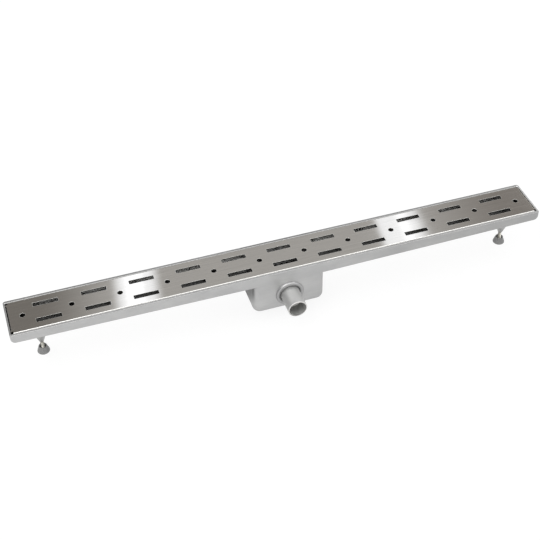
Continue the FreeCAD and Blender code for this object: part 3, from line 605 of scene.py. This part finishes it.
def studio_card(name, centre, width, depth, strength, turn=(0.0, 0.0, 0.0)):
    """A flat glowing card that only mirrors see; gives its node tree and its emission node."""
    bpy.ops.object.select_all(action="DESELECT")
    bpy.ops.mesh.primitive_plane_add(size=1.0, location=(0, 0, 0))
    card = bpy.context.active_object
    card.name = name
    card.scale = (width, depth, 1.0)
    card.rotation_euler = [math.radians(angle) for angle in turn]
    card.location = centre
    bpy.ops.object.transform_apply(location=True, rotation=True, scale=True)
    glowing = bpy.data.materials.new(name)
    glowing.use_nodes = True
    tree = glowing.node_tree
    tree.nodes.clear()
    glow = add_node(tree, "ShaderNodeEmission")
    glow.inputs["Strength"].default_value = strength
    ending = add_node(tree, "ShaderNodeOutputMaterial")
    tree.links.new(glow.outputs["Emission"], ending.inputs["Surface"])
    wear_finish(card, glowing)
    for kind in ("camera", "diffuse", "transmission", "volume_scatter", "shadow"):
        setattr(card, f"visible_{kind}", False)
    return tree, glow


card_left, card_right = -4.0, 7.0
card_middle, card_length = (card_left + card_right) / 2, card_right - card_left
tree, glow = studio_card("studio_windows", (card_middle, 4.0, card_height), card_length, 3.2, 1.0)
window_middle, window_lean = 3.7, 0.13
x, y, _ = place_on_piece(tree)
leaning = reckon(tree, "MULTIPLY", reckon(tree, "SUBTRACT", y, window_middle), window_lean)
along = reckon(tree, "SUBTRACT", x, leaning)

# The wall is dim at the left, even from the first window to the second, and dims again to the right,
# where a bright strip ends it. Places are along the card, in metres.
even_wall, bright_strip = (0.55, 0.55, 0.55), (1.30, 1.30, 1.30)
left_wall, right_wall = (0.26, 0.25, 0.24), (0.32, 0.305, 0.295)
room = blend_colours(tree, ramp_between(tree, along, -0.36, 0.14), left_wall, even_wall)
room = blend_colours(tree, ramp_between(tree, along, 2.10, 2.85), room, right_wall)
room = blend_colours(tree, ramp_between(tree, along, 3.02, 3.16), room, bright_strip)

# Each window has soft edges, which open and close it, and one brighter pane inside them.
daylight, bright_pane, pane_edge = (1.42, 1.48, 1.58), (1.76, 1.83, 1.96), 0.020
left_window = (0.092, 0.180), (0.192, 0.312), (0.345, 0.440)
right_window = (1.885, 1.934), (2.056, 2.124), (2.150, 2.260)
for (shut, open_from), (pane_first, pane_last), (open_to, shut_again) in (left_window, right_window):
    window = joint_share(
        tree,
        ramp_between(tree, along, shut, open_from),
        ramp_between(tree, along, shut_again, open_to))
    pane = joint_share(
        tree,
        ramp_between(tree, along, pane_first - pane_edge, pane_first + pane_edge),
        ramp_between(tree, along, pane_last + pane_edge, pane_last - pane_edge))
    glass = blend_colours(tree, pane, daylight, bright_pane)
    room = blend_colours(tree, window, room, glass)
tree.links.new(room, glow.inputs["Color"])
low_height = 1.7
studio_card("studio_overhead", (card_middle, -1.75, card_height), card_length, 2.7, 2.5)
studio_card("studio_behind", (card_middle, 5.6, low_height), card_length, 3.6, 0.25, (90.0, 0.0, 0.0))
studio_card("studio_ground", (card_middle, 2.06, floor_level + 0.0005), card_length, 4.0, 0.35)
studio_card("studio_beside", (card_left, 1.0, low_height), 3.4, 9.0, 0.35, (0.0, 90.0, 0.0))

softbox_data = bpy.data.lights.new("softbox", "AREA")
softbox_data.size = 2.6
softbox_data.energy = 26.0
softbox = bpy.data.objects.new("softbox", softbox_data)
bpy.context.scene.collection.objects.link(softbox)
softbox.location = (-1.6, -1.4, 2.6)
softbox.rotation_euler = (-softbox.location).to_track_quat("-Z", "Y").to_euler()

world = bpy.data.worlds.new("white_room")
bpy.context.scene.world = world
world.use_nodes = True
tree = world.node_tree
sky = tree.nodes["Background"]
sky.inputs["Color"].default_value = (1.0, 1.0, 1.0, 1.0)
seen = seen_share(tree, add_node(tree, "ShaderNodeLightPath"))
tree.links.new(ramp_between(tree, seen, 0.0, 1.0, 0.85, 1.0), sky.inputs["Strength"])

bpy.context.scene.view_settings.view_transform = "Standard"


# Camera, at the photograph's angle: high in front and to the left, looking down along the drain.
camera_place = Vector((-0.4144, -1.2500, 1.1840))
camera_azimuth = math.radians(17.516)
camera_elevation = math.radians(42.768)
camera_roll = math.radians(-1.120)
forward = Vector((
    math.sin(camera_azimuth) * math.cos(camera_elevation),
    math.cos(camera_azimuth) * math.cos(camera_elevation),
    -math.sin(camera_elevation)))
level_right = forward.cross(Vector((0, 0, 1))).normalized()
level_up = level_right.cross(forward)
right = level_right * math.cos(camera_roll) + level_up * math.sin(camera_roll)
up = level_up * math.cos(camera_roll) - level_right * math.sin(camera_roll)
camera_data = bpy.data.cameras.new("camera")
camera_data.lens = 72.154
camera_data.sensor_width = 36.0
half_pixel = 0.5 / 540
camera_data.shift_x = -half_pixel
camera_data.shift_y = half_pixel
camera = bpy.data.objects.new("camera", camera_data)
bpy.context.scene.collection.objects.link(camera)
turn = Matrix((right, up, -forward)).transposed()
camera.matrix_world = Matrix.Translation(camera_place) @ turn.to_4x4()
bpy.context.scene.camera = camera
